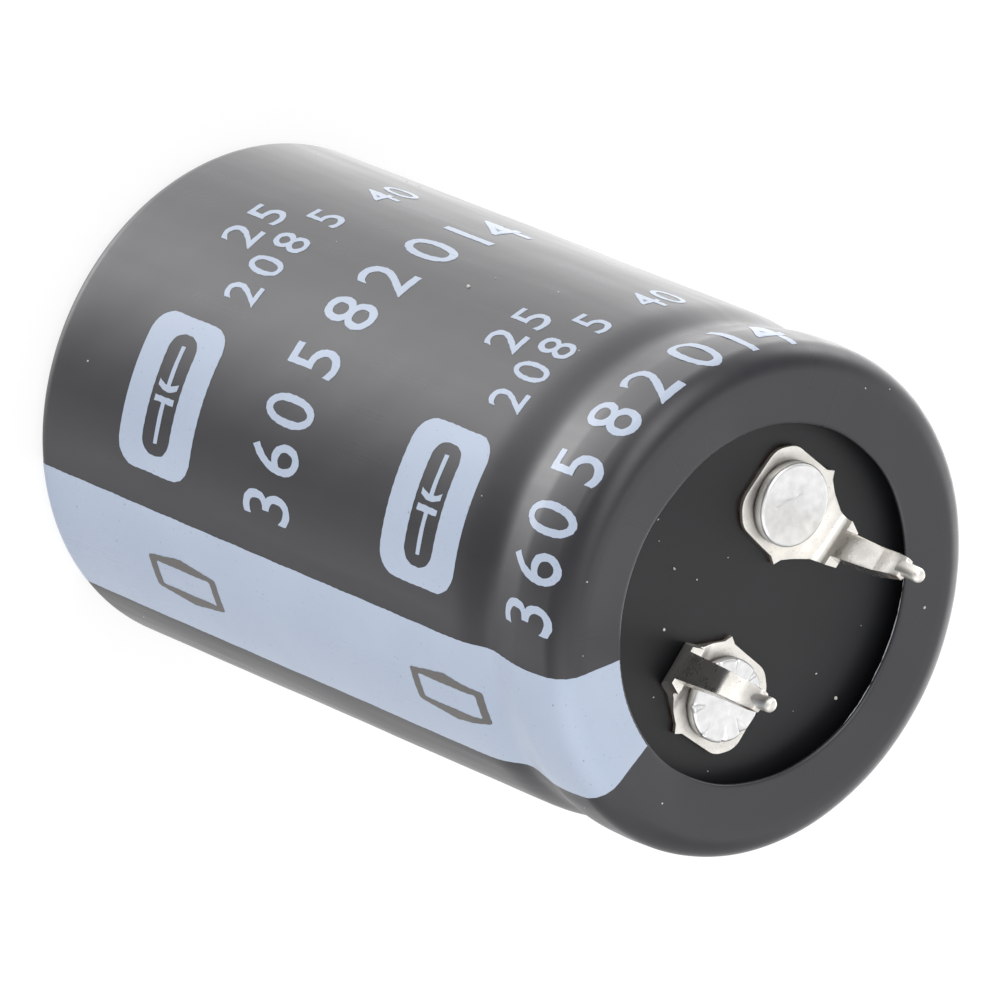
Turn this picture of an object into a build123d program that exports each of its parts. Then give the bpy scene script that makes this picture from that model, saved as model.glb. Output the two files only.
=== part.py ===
"""A snap-in aluminium electrolytic capacitor, 25 mm across and 40 mm tall.

It stands on its closed end with the two solder terminals up. The origin is the middle of the
foot, on the surface that it stands on. +Z runs along the can towards the terminals, and +X
points at the tip of the positive terminal. All sizes are in millimetres.

From the outside in: a heat-shrink sleeve, a deep-drawn can with a rolled bead and a curled rim,
a terminal board faced with rubber, two stamped terminals riveted through it, and inside the
wound element with its closing tape, lead tabs and washers.
"""

import os
from math import atan2, cos, hypot, radians, sin, sqrt, tan

from build123d import *

# Can
can_diameter = 25.0
can_height = 40.4
can_wall = 0.4
can_floor = 0.7
can_foot_radius = 0.7
curl_radius = 1.0
bead_depth = 1.6
bead_half_height = 1.7
bead_lip_radius = 1.5
bead_root_radius = 0.9
vent_arm = 6.5
vent_width = 0.5
vent_depth = 0.4

# Heat-shrink sleeve
sleeve_thickness = 0.28
shrink_gap = 0.02
sleeve_foot_opening = 19.2
sleeve_top_opening = 17.8
sleeve_lip_droop = 0.17
sleeve_lip_hang = 0.3
sleeve_lip_radius = 4.0
sleeve_waist_depth = 0.45
sleeve_waist_below = 0.3
sleeve_waist_above = 0.5
sleeve_waist_radii = (6.0, 3.0, 2.4)

# Terminal board and its rubber facing
deck_recess = 1.0
rubber_thickness = 1.3
board_thickness = 1.2
deck_clearance = 0.1
curl_bite = 0.4
plate_bite = 0.4

# Terminals
pin_pitch = 10.0
rivet_pitch = 9.9
rivet_angle = 40.5
sheet_thickness = 0.75
plate_back = 2.5
plate_back_half_width = 1.55
plate_corner = (2.4, -1.55)
plate_flank = (2.5, 1.0)
plate_nib = (2.72, 1.42)
plate_nib_root = (2.33, 1.66)
plate_back_round = 1.2
neck_half_width = 1.4
neck_start = 2.95
shoulder_half_width = 1.0
shoulder_height = 1.65
ramp_start = 2.4
ramp_rise = 0.65
ramp_radius = 1.6
bend_radius = 0.5
shank_width = 1.5
knee_height = 4.6
knee_radius = 2.0
taper_length = 2.05
taper_width = 1.1
taper_thickness = 0.5
nub_diameter = 0.74
nub_length = 1.05
nub_root = 0.4
nub_round = 0.28
tip_lean = 0.31
negative_turn = 3.5

# Rivets, washers and lead tabs
rivet_diameter = 3.0
rivet_head_diameter = 4.2
rivet_head_height = 0.58
rivet_head_round = 0.14
rivet_flange_diameter = 4.8
rivet_flange_thickness = 0.8
rivet_clearance = 0.02
punch_marks = 9
punch_width = 0.56
punch_inner_radius = 0.75
washer_diameter = 6.0
washer_thickness = 0.5
tab_width = 5.0
tab_thickness = 0.25
tab_past_rivet = 2.7
tab_reach = 3.6
tab_bow = 0.9
tab_bend_radius = 0.6
tab_foot = 4.0
tab_clearance = 0.02

# Wound element
winding_play = 0.65
winding_headroom = 1.1
arbor_diameter = 3.6
tape_width = 20.0
tape_thickness = 0.12
tape_clearance = 0.02

# Levels above the foot
can_base = sleeve_thickness + shrink_gap
can_inside = can_base + can_floor
can_top = can_base + can_height
sleeve_top = can_top + shrink_gap + sleeve_thickness
rubber_top = can_top - deck_recess
plate_base = rubber_top - plate_bite
board_top = rubber_top - rubber_thickness
board_base = board_top - board_thickness
tab_level = board_base - washer_thickness
flange_level = tab_level - tab_thickness

# Radii
can_radius = can_diameter / 2
can_bore = can_radius - can_wall
sleeve_radius = can_radius + shrink_gap + sleeve_thickness
deck_radius = can_bore - deck_clearance
winding_radius = can_bore - winding_play
rivet_hole = rivet_diameter / 2 + rivet_clearance

# The bead's flanks lean by this angle, and its lips reach this far past its corners
lip_turn = atan2(bead_depth, bead_half_height)
lip_reach = bead_lip_radius * tan(lip_turn / 2)


def bead_seat(radius):
    """Height, above the bead's middle, of the inside of its upper flank at a radius."""
    lip_middle = can_radius - bead_lip_radius
    lip_inside = bead_lip_radius - can_wall
    if radius < lip_middle + lip_inside * cos(lip_turn):
        rise = can_wall * hypot(bead_depth, bead_half_height)
        return ((radius - can_radius + bead_depth) * bead_half_height + rise) / bead_depth
    return bead_half_height + lip_reach - sqrt(lip_inside**2 - (radius - lip_middle) ** 2)


# The terminal board rests on the bead, the winding ends below it, and the sleeve sags into it
bead_level = board_base - bead_seat(deck_radius)
winding_top = bead_level - bead_half_height - lip_reach - winding_headroom
winding_height = winding_top - can_inside
waist_start = bead_level - bead_half_height - sleeve_waist_below
waist_end = bead_level + bead_half_height + sleeve_waist_above

# Each terminal runs from its rivet straight to its pin. The seat plane lies under the plate,
# which the rivet has pulled into the rubber, with Y towards the pin. The side plane shows the
# bent sheet from its edge, and the front plane looks at the shank. The element's half of the
# joint has a side plane of its own.
rivet_x = rivet_pitch / 2 * cos(radians(rivet_angle))
rivet_y = rivet_pitch / 2 * sin(radians(rivet_angle))
pin_reach = hypot(pin_pitch / 2 - rivet_x, rivet_y)
heading = Vector(pin_pitch / 2 - rivet_x, -rivet_y, 0) / pin_reach
across = Vector(heading.Y, -heading.X, 0)
seat = Plane(origin=(rivet_x, rivet_y, plate_base), x_dir=across, z_dir=(0, 0, 1))
side = Plane(origin=seat.origin, x_dir=heading, z_dir=across)
front = Plane(origin=seat.origin, x_dir=across, z_dir=-heading)
outward = Vector(rivet_x, rivet_y, 0).normalized()
tab_side = Plane(
    origin=(rivet_x, rivet_y, 0),
    x_dir=outward,
    z_dir=outward.cross(Vector(0, 0, 1)),
)
shank_outside = pin_reach + tip_lean + sheet_thickness / 2
shank_inside = shank_outside - sheet_thickness
taper_end = knee_height + taper_length
tip_top = taper_end + nub_length
ramp_turn = atan2(ramp_rise, shank_outside - ramp_start)
ramp_inside = (shank_inside - ramp_start) * tan(ramp_turn) + sheet_thickness / cos(ramp_turn)

# Can: the outer line of the drawn wall, thickened inwards. The rim curls over until its edge
# bites into the rubber.
with BuildPart() as can:
    with BuildSketch(Plane.XZ):
        with BuildLine():
            wall = FilletPolyline(
                (0, can_base),
                (can_radius, can_base),
                (can_radius, bead_level - bead_half_height),
                (can_radius - bead_depth, bead_level),
                (can_radius, bead_level + bead_half_height),
                (can_radius, can_top - curl_radius),
                radius=(can_foot_radius, bead_lip_radius, bead_root_radius, bead_lip_radius),
            )
            curl = JernArc(wall @ 1, wall % 1, curl_radius, 180)
            Line(curl @ 1, ((curl @ 1).X, rubber_top - curl_bite))
            offset(amount=can_wall, side=Side.LEFT)
        make_face()
    revolve(axis=Axis.Z)
    with BuildSketch(Plane.XY.offset(can_base)):
        Circle(can_radius - can_foot_radius)
    extrude(amount=can_floor)
    with BuildSketch(Plane.XY.offset(can_base)):
        with PolarLocations(vent_arm / 2, 3):
            SlotOverall(vent_arm + vent_width, vent_width)
    extrude(amount=vent_depth, mode=Mode.SUBTRACT)

# Heat-shrink sleeve: folded over the foot and the curl, and drawn into the bead
with BuildPart() as sleeve:
    with BuildSketch(Plane.XZ):
        with BuildLine():
            FilletPolyline(
                (sleeve_foot_opening / 2, 0),
                (sleeve_radius, 0),
                (sleeve_radius, waist_start),
                (sleeve_radius - sleeve_waist_depth, bead_level),
                (sleeve_radius, waist_end),
                (sleeve_radius, sleeve_top),
                (can_radius - curl_radius - sleeve_lip_hang, sleeve_top),
                (sleeve_top_opening / 2, sleeve_top - sleeve_lip_droop),
                radius=(
                    can_foot_radius + shrink_gap + sleeve_thickness,
                    *sleeve_waist_radii,
                    curl_radius + shrink_gap + sleeve_thickness,
                    sleeve_lip_radius,
                ),
            )
            offset(amount=sleeve_thickness, side=Side.LEFT)
        make_face()
    revolve(axis=Axis.Z)

# Terminal board, resting on the bead
with BuildPart() as terminal_board:
    with BuildSketch(Plane.XY.offset(board_base)):
        Circle(deck_radius)
        with Locations((rivet_x, rivet_y), (-rivet_x, -rivet_y)):
            Circle(rivet_hole, mode=Mode.SUBTRACT)
    extrude(amount=board_thickness)

# Terminal: a strip of sheet that ramps up from the plate and bends into the shank, which leans
# back and thins out behind a knee. It is cut to the blank's outline from above, with a carrier
# nib on each side, and to the shank's outline from the front. A round nub is coined on its end.
with BuildPart() as positive_terminal:
    with BuildSketch(side):
        with BuildLine():
            under = FilletPolyline(
                (-plate_back, 0),
                (ramp_start, 0),
                (shank_outside, ramp_rise),
                (shank_outside, knee_height),
                (pin_reach + taper_thickness / 2, taper_end),
                radius=(ramp_radius, bend_radius + sheet_thickness, knee_radius),
            )
            over = FilletPolyline(
                (-plate_back, sheet_thickness),
                (ramp_start - sheet_thickness * tan(ramp_turn / 2), sheet_thickness),
                (shank_inside, ramp_inside),
                (shank_inside, knee_height),
                (pin_reach - taper_thickness / 2, taper_end),
                radius=(ramp_radius - sheet_thickness, bend_radius, knee_radius),
            )
            Line(under @ 0, over @ 0)
            Line(under @ 1, over @ 1)
        make_face()
    extrude(amount=plate_nib[0], both=True)
    with BuildSketch(seat) as blank:
        with BuildLine():
            Polyline(
                (0, -plate_back),
                (plate_back_half_width, -plate_back),
                plate_corner,
                plate_flank,
                plate_nib,
                plate_nib_root,
                (neck_half_width, neck_start),
                (shoulder_half_width, shank_outside),
                (0, shank_outside),
            )
            mirror(about=Plane.YZ)
        make_face()
        back = blank.vertices().group_by(Axis.Y)
        fillet(back[0] + back[1], radius=plate_back_round)
        with Locations((0, 0)):
            Circle(rivet_hole, mode=Mode.SUBTRACT)
    extrude(amount=tip_top, mode=Mode.INTERSECT)
    with BuildSketch(front):
        with BuildLine():
            Polyline(
                (0, 0),
                (plate_nib[0], 0),
                (plate_nib[0], shoulder_height),
                (shank_width / 2, shoulder_height),
                (taper_width / 2, taper_end),
                (0, taper_end),
            )
            mirror(about=Plane.YZ)
        make_face()
    extrude(amount=shank_outside + plate_back, both=True, mode=Mode.INTERSECT)
    with Locations(seat.origin + heading * pin_reach + Vector(0, 0, taper_end - nub_root)):
        Cylinder(
            radius=nub_diameter / 2,
            height=nub_root + nub_length,
            align=(Align.CENTER, Align.CENTER, Align.MIN),
        )
    fillet(positive_terminal.edges().group_by(Axis.Z)[-1], radius=nub_round)

# The negative terminal is the same stamping, riveted a few degrees off its true heading
with BuildPart() as negative_terminal:
    turned = positive_terminal.part.rotate(Axis(seat.origin, (0, 0, 1)), negative_turn)
    add(turned, rotation=(0, 0, 180))

# Rubber facing: it takes the print of the curl's edge and of the two plates
with BuildPart() as rubber_facing:
    with BuildSketch(Plane.XY.offset(board_top)):
        Circle(deck_radius)
        with Locations((rivet_x, rivet_y), (-rivet_x, -rivet_y)):
            Circle(rivet_hole, mode=Mode.SUBTRACT)
    extrude(amount=rubber_thickness)
    add(can.part, mode=Mode.SUBTRACT)
    add(positive_terminal.part, mode=Mode.SUBTRACT)
    add(negative_terminal.part, mode=Mode.SUBTRACT)

# Rivet: head on the plate, shank through everything, and the upset flange under the tab
with BuildPart() as positive_rivet:
    with BuildSketch(side) as rivet_half:
        with BuildLine():
            Polyline(
                (0, sheet_thickness + rivet_head_height),
                (rivet_head_diameter / 2, sheet_thickness + rivet_head_height),
                (rivet_head_diameter / 2, sheet_thickness),
                (rivet_diameter / 2, sheet_thickness),
                (rivet_diameter / 2, flange_level - plate_base),
                (rivet_flange_diameter / 2, flange_level - plate_base),
                (rivet_flange_diameter / 2, flange_level - plate_base - rivet_flange_thickness),
                (0, flange_level - plate_base - rivet_flange_thickness),
                close=True,
            )
        make_face()
    revolve(axis=Axis(seat.origin, (0, 0, 1)))
    fillet(positive_rivet.edges().group_by(Axis.Z)[-1], radius=rivet_head_round)

# The negative rivet's head is staked with a star punch: wedges that deepen towards its edge
with BuildPart() as negative_rivet:
    add(positive_rivet.part, rotation=(0, 0, 180))
    with Locations((-rivet_x, -rivet_y, plate_base + sheet_thickness + rivet_head_height)):
        with PolarLocations(punch_inner_radius, punch_marks):
            with Locations(Location((0, 0, 0), (0, 90, 0))):
                Cone(
                    bottom_radius=0,
                    top_radius=punch_width / 2,
                    height=rivet_head_diameter / 2 - punch_inner_radius + rivet_clearance,
                    align=(Align.CENTER, Align.CENTER, Align.MIN),
                    mode=Mode.SUBTRACT,
                )

# Washers under the board
with BuildPart() as positive_washer:
    with BuildSketch(Plane.XY.offset(tab_level)):
        with Locations((rivet_x, rivet_y)):
            Circle(washer_diameter / 2)
            Circle(rivet_hole, mode=Mode.SUBTRACT)
    extrude(amount=washer_thickness)

with BuildPart() as negative_washer:
    add(positive_washer.part, rotation=(0, 0, 180))

# Lead tab: flat under the washer, bent down with some slack, its foot between the turns
with BuildPart() as positive_tab:
    with BuildSketch(tab_side):
        with BuildLine():
            FilletPolyline(
                (-tab_past_rivet, tab_level),
                (tab_reach, tab_level),
                (tab_reach + tab_bow, (tab_level + winding_top) / 2),
                (tab_reach, winding_top),
                (tab_reach, winding_top - tab_foot),
                radius=tab_bend_radius,
            )
            offset(amount=tab_thickness, side=Side.RIGHT)
        make_face()
    extrude(amount=tab_width / 2, both=True)
    with BuildSketch(Plane.XY.offset(flange_level)):
        with Locations((rivet_x, rivet_y)):
            Circle(rivet_hole)
    extrude(amount=tab_thickness, mode=Mode.SUBTRACT)

with BuildPart() as negative_tab:
    add(positive_tab.part, rotation=(0, 0, 180))

# Winding: the roll of foils and paper stands on the can's floor, with slots for the tabs' feet
with BuildPart() as winding:
    with BuildSketch(Plane.XY.offset(can_inside)):
        Circle(winding_radius)
        Circle(arbor_diameter / 2, mode=Mode.SUBTRACT)
    extrude(amount=winding_height)
    with BuildSketch(tab_side) as slot:
        with Locations((tab_reach - tab_thickness / 2, winding_top)):
            Rectangle(
                tab_thickness + 2 * tab_clearance,
                2 * (tab_foot + tab_clearance),
            )
        with Locations((-rivet_pitch - tab_reach + tab_thickness / 2, winding_top)):
            Rectangle(
                tab_thickness + 2 * tab_clearance,
                2 * (tab_foot + tab_clearance),
            )
    extrude(amount=tab_width / 2 + tab_clearance, both=True, mode=Mode.SUBTRACT)

with BuildPart() as closing_tape:
    with BuildSketch(Plane.XY.offset(can_inside + (winding_height - tape_width) / 2)):
        Circle(winding_radius + tape_clearance + tape_thickness)
        Circle(winding_radius + tape_clearance, mode=Mode.SUBTRACT)
    extrude(amount=tape_width)

sleeve.part.label = "sleeve"
can.part.label = "can"
terminal_board.part.label = "terminal_board"
rubber_facing.part.label = "rubber_facing"
positive_terminal.part.label = "positive_terminal"
negative_terminal.part.label = "negative_terminal"
positive_rivet.part.label = "positive_rivet"
negative_rivet.part.label = "negative_rivet"
positive_washer.part.label = "positive_washer"
negative_washer.part.label = "negative_washer"
positive_tab.part.label = "positive_tab"
negative_tab.part.label = "negative_tab"
winding.part.label = "winding"
closing_tape.part.label = "closing_tape"

os.makedirs("parts", exist_ok=True)
export_step(sleeve.part, "parts/sleeve.step")
export_step(can.part, "parts/can.step")
export_step(terminal_board.part, "parts/terminal_board.step")
export_step(rubber_facing.part, "parts/rubber_facing.step")
export_step(positive_terminal.part, "parts/positive_terminal.step")
export_step(negative_terminal.part, "parts/negative_terminal.step")
export_step(positive_rivet.part, "parts/positive_rivet.step")
export_step(negative_rivet.part, "parts/negative_rivet.step")
export_step(positive_washer.part, "parts/positive_washer.step")
export_step(negative_washer.part, "parts/negative_washer.step")
export_step(positive_tab.part, "parts/positive_tab.step")
export_step(negative_tab.part, "parts/negative_tab.step")
export_step(winding.part, "parts/winding.step")
export_step(closing_tape.part, "parts/closing_tape.step")
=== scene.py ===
# %% [markdown]
# # An aluminium electrolytic capacitor
#
# This lesson dresses the solids of a snap-in capacitor: a drawn can in a printed black shrink
# sleeve, closed by a rubber-faced deck with two tinned terminals riveted through it. Solids
# that already have the right shape only get a material. Pieces that catch long soft
# reflections are drawn again as fine surfaces, because a facet or a knife edge shows there.

import bmesh
import bpy
import numpy as np
from mathutils import Matrix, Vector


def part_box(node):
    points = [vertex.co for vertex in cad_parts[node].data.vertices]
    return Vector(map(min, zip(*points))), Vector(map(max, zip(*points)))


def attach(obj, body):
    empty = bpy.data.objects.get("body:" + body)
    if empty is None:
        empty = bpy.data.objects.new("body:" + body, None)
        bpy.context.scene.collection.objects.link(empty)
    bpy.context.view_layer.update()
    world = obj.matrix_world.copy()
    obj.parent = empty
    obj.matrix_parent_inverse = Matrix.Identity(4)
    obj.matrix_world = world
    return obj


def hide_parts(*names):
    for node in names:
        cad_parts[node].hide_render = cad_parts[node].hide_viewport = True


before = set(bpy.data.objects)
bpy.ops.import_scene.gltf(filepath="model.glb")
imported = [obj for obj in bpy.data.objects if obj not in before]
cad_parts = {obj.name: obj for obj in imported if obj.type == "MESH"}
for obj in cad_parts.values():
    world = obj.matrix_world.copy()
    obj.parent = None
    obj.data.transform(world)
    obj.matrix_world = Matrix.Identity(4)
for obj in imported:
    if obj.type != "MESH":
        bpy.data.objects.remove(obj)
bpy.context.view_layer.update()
MM = 0.001
link_object = bpy.context.scene.collection.objects.link
print("nodes:", ", ".join(sorted(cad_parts)))

# %% [markdown]
# The sizes that the surfaces below share with the solids are written once here, in
# millimetres. Levels that the solids already hold are read from their boxes instead.

# %% Sizes
FILM_RADIUS = 12.8
FILM_THICKNESS = 0.28
FOOT_OPENING = 9.6
FOOT_ROUND = 1.0
BEAD_LEVEL = 35.363
WAIST_RADIUS = 12.35
WAIST_START = BEAD_LEVEL - 2.0
WAIST_END = BEAD_LEVEL + 2.2
WAIST_ROUNDS = (6.0, 3.0, 2.4)
SHOULDER_ROUND = 1.3
LIP_FOLD = 11.2
LIP_ROUND = 4.0
TOP_OPENING = 8.9
LIP_DROOP = 0.17
FILM_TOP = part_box("sleeve")[1][2] / MM
DECK_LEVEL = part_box("rubber_facing")[1][2] / MM
PLATE_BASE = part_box("positive_terminal")[0][2] / MM
RIVET_REACH = 4.95
RIVET_ANGLE = np.radians(40.5)
RIVET_PLACE = RIVET_REACH * np.array([np.cos(RIVET_ANGLE), np.sin(RIVET_ANGLE)])
PIN_PLACE = np.array([5.0, 0.0])
NEGATIVE_TURN = np.radians(3.5)
SHEET = 0.75
print("film ends at", round(FILM_TOP, 2), "mm and the deck lies at", round(DECK_LEVEL, 2), "mm")

# %% [markdown]
# Colours are written as the sRGB hex values that a painter would read off a screen, and
# Blender wants linear ones. Materials are small node trees, so one function adds a node with
# its settings and its links. Settings that nodes share have a name.

# %% Colour and node helpers
MIX_COLOURS = {"data_type": "RGBA"}
MULTIPLY = {"operation": "MULTIPLY"}


def linear(code):
    """sRGB hex to linear: c / 12.92 below 0.04045, else ((c + 0.055) / 1.055) ** 2.4."""
    c = np.array([int(code[i : i + 2], 16) for i in (1, 3, 5)]) / 255
    rgb = np.where(c <= 0.04045, c / 12.92, ((c + 0.055) / 1.055) ** 2.4)
    return (*rgb, 1.0)


def feed(made, **inputs):
    """Fills a node's inputs. One is named, or numbered as i0, and takes a value, a hex colour,
    an output, or a node, which stands for its first output."""
    for key, value in inputs.items():
        name = int(key[1:]) if key[0] == "i" and key[1:].isdigit() else key.replace("_", " ")
        if isinstance(value, bpy.types.Node):
            value = value.outputs[0]
        if isinstance(value, bpy.types.NodeSocket):
            made.id_data.links.new(value, made.inputs[name])
        else:
            made.inputs[name].default_value = linear(value) if isinstance(value, str) else value


def node(tree, kind, settings=None, **inputs):
    """Adds a node, its kind without ShaderNode, with its settings and its inputs."""
    made = tree.nodes.new("ShaderNode" + kind)
    for key, value in (settings or {}).items():
        setattr(made, key, value)
    feed(made, **inputs)
    return made


def new_material(name):
    """An empty node material, its tree and a Principled shader joined to its output."""
    made = bpy.data.materials.new(name)
    made.use_nodes = True
    tree = made.node_tree
    tree.nodes.clear()
    end = tree.nodes.new("ShaderNodeOutputMaterial")
    shader = tree.nodes.new("ShaderNodeBsdfPrincipled")
    feed(end, Surface=shader)
    return made, tree, shader


def per_mm(size):
    """Scale of a pattern on coordinates in metres for features of a size in millimetres."""
    return 1.0 / (size * MM)


print("helpers ready; mid grey is", [round(v, 3) for v in linear("#808080")])

# %% [markdown]
# The camera stands where the photographer's did. The object stands upright on its closed end,
# and the picture is turned so that the terminals point right and slightly down. A long lens
# from about 65 cm keeps the far end nearly as large as the near one.

# %% Camera
CAMERA_AZIMUTH = 125.6
CAMERA_ELEVATION = 47.066
CAMERA_ROLL = -112.436
CAMERA_DISTANCE = 645.69
CAMERA_AIM = (-0.058, -0.271, 20.674)
LENS = 476.0


def camera_axes(azimuth, elevation, roll):
    """Right, up and back directions of a camera at an azimuth and elevation, then rolled."""
    a, e, r = np.radians([azimuth, elevation, roll])
    back = np.array([np.cos(e) * np.cos(a), np.cos(e) * np.sin(a), np.sin(e)])
    right = np.cross([0, 0, 1.0], back)
    right /= np.linalg.norm(right)
    up = np.cross(back, right)
    rolled_up = np.cos(r) * up + np.sin(r) * right
    return np.cross(rolled_up, back), rolled_up, back


right, up, back = camera_axes(CAMERA_AZIMUTH, CAMERA_ELEVATION, CAMERA_ROLL)
place = (np.array(CAMERA_AIM) + CAMERA_DISTANCE * back) * MM
matrix = np.eye(4)
matrix[:3] = np.column_stack([right, up, back, place])
lens = bpy.data.cameras.new("camera")
lens.lens = LENS
lens.sensor_width = 36
lens.clip_start = 0.01
camera = bpy.data.objects.new("camera", lens)
camera.matrix_world = matrix.T.tolist()
link_object(camera)
bpy.context.scene.camera = camera
bpy.context.scene.view_settings.view_transform = "Standard"
print("camera at", [round(v, 3) for v in place], "m")

# %% [markdown]
# A capacitor in a catalogue is photographed in a white tent with soft boxes outside it. Black
# gloss shows nothing but those boxes, so their places matter as much as the shape does. A soft
# box is a soft patch of light round a direction: the sideways and upward parts of a view
# direction, over the box's half width and half height, give x and y of exp(-x * x - y * y).
#
# The boxes only show in reflections. What lights matt surfaces is an even white, so that each
# colour renders about as it is written, and the camera itself sees plain white.

# %% Tent
TENT_SIDE = 0.37
TENT_CROWN = 0.0
SOFT_BOXES = {
    "strip below the printed side": (94, -64, 0.32, 0.36, 5.2),
    "broad sheet on the table": (26, -44, 1.65, 0.38, 1.88),
    "sheet past the far side": (-40, -46, 0.40, 0.36, 0.8),
    "small sheet by the stripe": (181, -44, 0.22, 0.43, 1.0),
    "pale table under the stripe": (262, -48, 0.24, 0.40, 0.32),
    "box above the printed side": (71, 45, 0.34, 0.60, 3.8),
    "box above the stripe": (205, 38, 0.67, 0.60, 1.7),
    "box above the far side": (276, 57, 0.87, 0.28, 1.1),
    "low box on the far side": (312, 17, 0.30, 0.30, 2.3),
    "low box on the terminal side": (9, -3, 0.35, 0.35, 3.9),
}


def soft_box(tree, direction, azimuth, elevation, half_width, half_height, radiance):
    """The light of one box for a direction, zero behind the viewer."""
    a, e = np.radians([azimuth, elevation])
    middle = np.array([np.cos(e) * np.cos(a), np.cos(e) * np.sin(a), np.sin(e)])
    beside = np.array([-np.sin(a), np.cos(a), 0.0])
    above = np.cross(middle, beside)
    x, y, front = [
        node(tree, "VectorMath", {"operation": "DOT_PRODUCT"}, i0=direction, i1=axis)
        .outputs["Value"]
        for axis in (beside / half_width, above / half_height, middle)
    ]
    square = node(tree, "Math", MULTIPLY, i0=x, i1=x)
    squares = node(tree, "Math", {"operation": "MULTIPLY_ADD"}, i0=y, i1=y, i2=square)
    falling = node(tree, "Math", MULTIPLY, i0=squares, i1=-1.0)
    patch = node(tree, "Math", {"operation": "EXPONENT"}, i0=falling)
    facing = node(tree, "Math", {"operation": "GREATER_THAN"}, i0=front, i1=0.0)
    cut = node(tree, "Math", MULTIPLY, i0=patch, i1=facing)
    return node(tree, "Math", MULTIPLY, i0=cut, i1=radiance)


world = bpy.data.worlds.new("tent")
bpy.context.scene.world = world
world.use_nodes = True
world.cycles.sampling_method = "NONE"
tree = world.node_tree
tree.nodes.clear()
end = tree.nodes.new("ShaderNodeOutputWorld")
direction = node(tree, "TexCoord").outputs["Generated"]
height = node(tree, "SeparateXYZ", Vector=direction).outputs["Z"]
light = node(tree, "MapRange", Value=height, To_Min=TENT_SIDE, To_Max=TENT_CROWN)
for box_sizes in SOFT_BOXES.values():
    box = soft_box(tree, direction, *box_sizes)
    light = node(tree, "Math", {"operation": "ADD"}, i0=light, i1=box)
glossy = node(tree, "LightPath").outputs["Is Glossy Ray"]
strength = node(tree, "Mix", i0=glossy, i2=1.0, i3=light)
sky = node(tree, "Background", Color="#ffffff", Strength=strength)
feed(end, Surface=sky)
print(len(SOFT_BOXES), "soft boxes, the brightest", max(b[-1] for b in SOFT_BOXES.values()))

# %% [markdown]
# The paper under the object is matt. Its colour alone would render pale grey, so most of what
# the camera sees of it is its own white, and the rest is the matt paper with the object's soft
# shadow. Reflections pass through it to the tent, where the sheets on the table are painted.

# %% Floor
SIDE = 2.0
WHITE_SHARE = 0.75
PAPER_WHITE = 1.12
floor_mesh = bpy.data.meshes.new("floor")
corners = [(-SIDE, -SIDE, 0), (SIDE, -SIDE, 0), (SIDE, SIDE, 0), (-SIDE, SIDE, 0)]
floor_mesh.from_pydata(corners, [], [(0, 1, 2, 3)])
floor = bpy.data.objects.new("floor", floor_mesh)
link_object(floor)
floor.visible_glossy = False
paper, tree, shader = new_material("studio_paper")
paper.cycles.emission_sampling = "NONE"
tree.nodes.remove(shader)
end = tree.nodes["Material Output"]
camera_ray = node(tree, "LightPath").outputs["Is Camera Ray"]
matt = node(tree, "BsdfDiffuse", Color="#f4f4f4")
white = node(tree, "Emission", Color="#ffffff", Strength=PAPER_WHITE)
seen = node(tree, "MixShader", Fac=WHITE_SHARE, i1=matt, i2=white)
shown = node(tree, "MixShader", Fac=camera_ray, i1=matt, i2=seen)
feed(end, Surface=shown)
floor_mesh.materials.append(paper)
print("floor of", 2 * SIDE, "m")

# %% [markdown]
# Every new piece is a grid of points that a formula gives, so one function joins a grid's
# neighbours into quads and another makes the mesh, gives it a material and lets it ride on the
# object's only body. Where a grid closes at a pole, the points that meet there are merged.

# %% Grids and pieces


def grid_faces(rows, columns, closed_rows=False, closed_columns=False):
    """Quads between the neighbours of a grid, as indexes into its flat list of points."""
    i = np.arange(rows if closed_rows else rows - 1)
    j = np.arange(columns if closed_columns else columns - 1)
    i, j = [a.ravel() for a in np.meshgrid(i, j, indexing="ij")]
    after, beside = (i + 1) % rows, (j + 1) % columns
    corners = (i * columns + j, i * columns + beside, after * columns + beside, after * columns + j)
    return np.stack(corners, -1)


def new_piece(name, mesh, material):
    """A smooth-shaded piece of the object, with its place in its mesh."""
    mesh.shade_smooth()
    mesh.materials.clear()
    mesh.materials.append(material)
    piece = bpy.data.objects.new(name, mesh)
    link_object(piece)
    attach(piece, "root")
    return piece


def new_mesh(name, points, faces, unit=MM):
    """A mesh from an array of points, in millimetres as a rule, and an array of quads."""
    mesh = bpy.data.meshes.new(name)
    mesh.from_pydata((points.reshape(-1, 3) * unit).tolist(), [], faces.tolist())
    return mesh


def rows_of(items, name):
    """A property of a mesh's points or faces as rows of x, y and z, in the mesh's own unit."""
    rows = np.empty(len(items) * 3)
    items.foreach_get(name, rows)
    return rows.reshape(-1, 3)


def close_poles(mesh, distance):
    """Merges points nearer than a distance in millimetres and turns the faces outwards."""
    shape = bmesh.new()
    shape.from_mesh(mesh)
    bmesh.ops.remove_doubles(shape, verts=shape.verts[:], dist=distance * MM)
    bmesh.ops.recalc_face_normals(shape, faces=shape.faces[:])
    shape.to_mesh(mesh)
    shape.free()


print("a 3 by 4 grid has", len(grid_faces(3, 4)), "quads")

# %% [markdown]
# The sleeve is a tube of film that was shrunk over the can with hot air. It hugs the foot, the
# rolled bead and the rim, so it is a surface of revolution of one line: up the wall, in at the
# waist, over the shoulder and across the rim to its cut edge. The line is written as corners
# with a radius each, as a toolmaker would dimension it.

# %% The film's line


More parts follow.
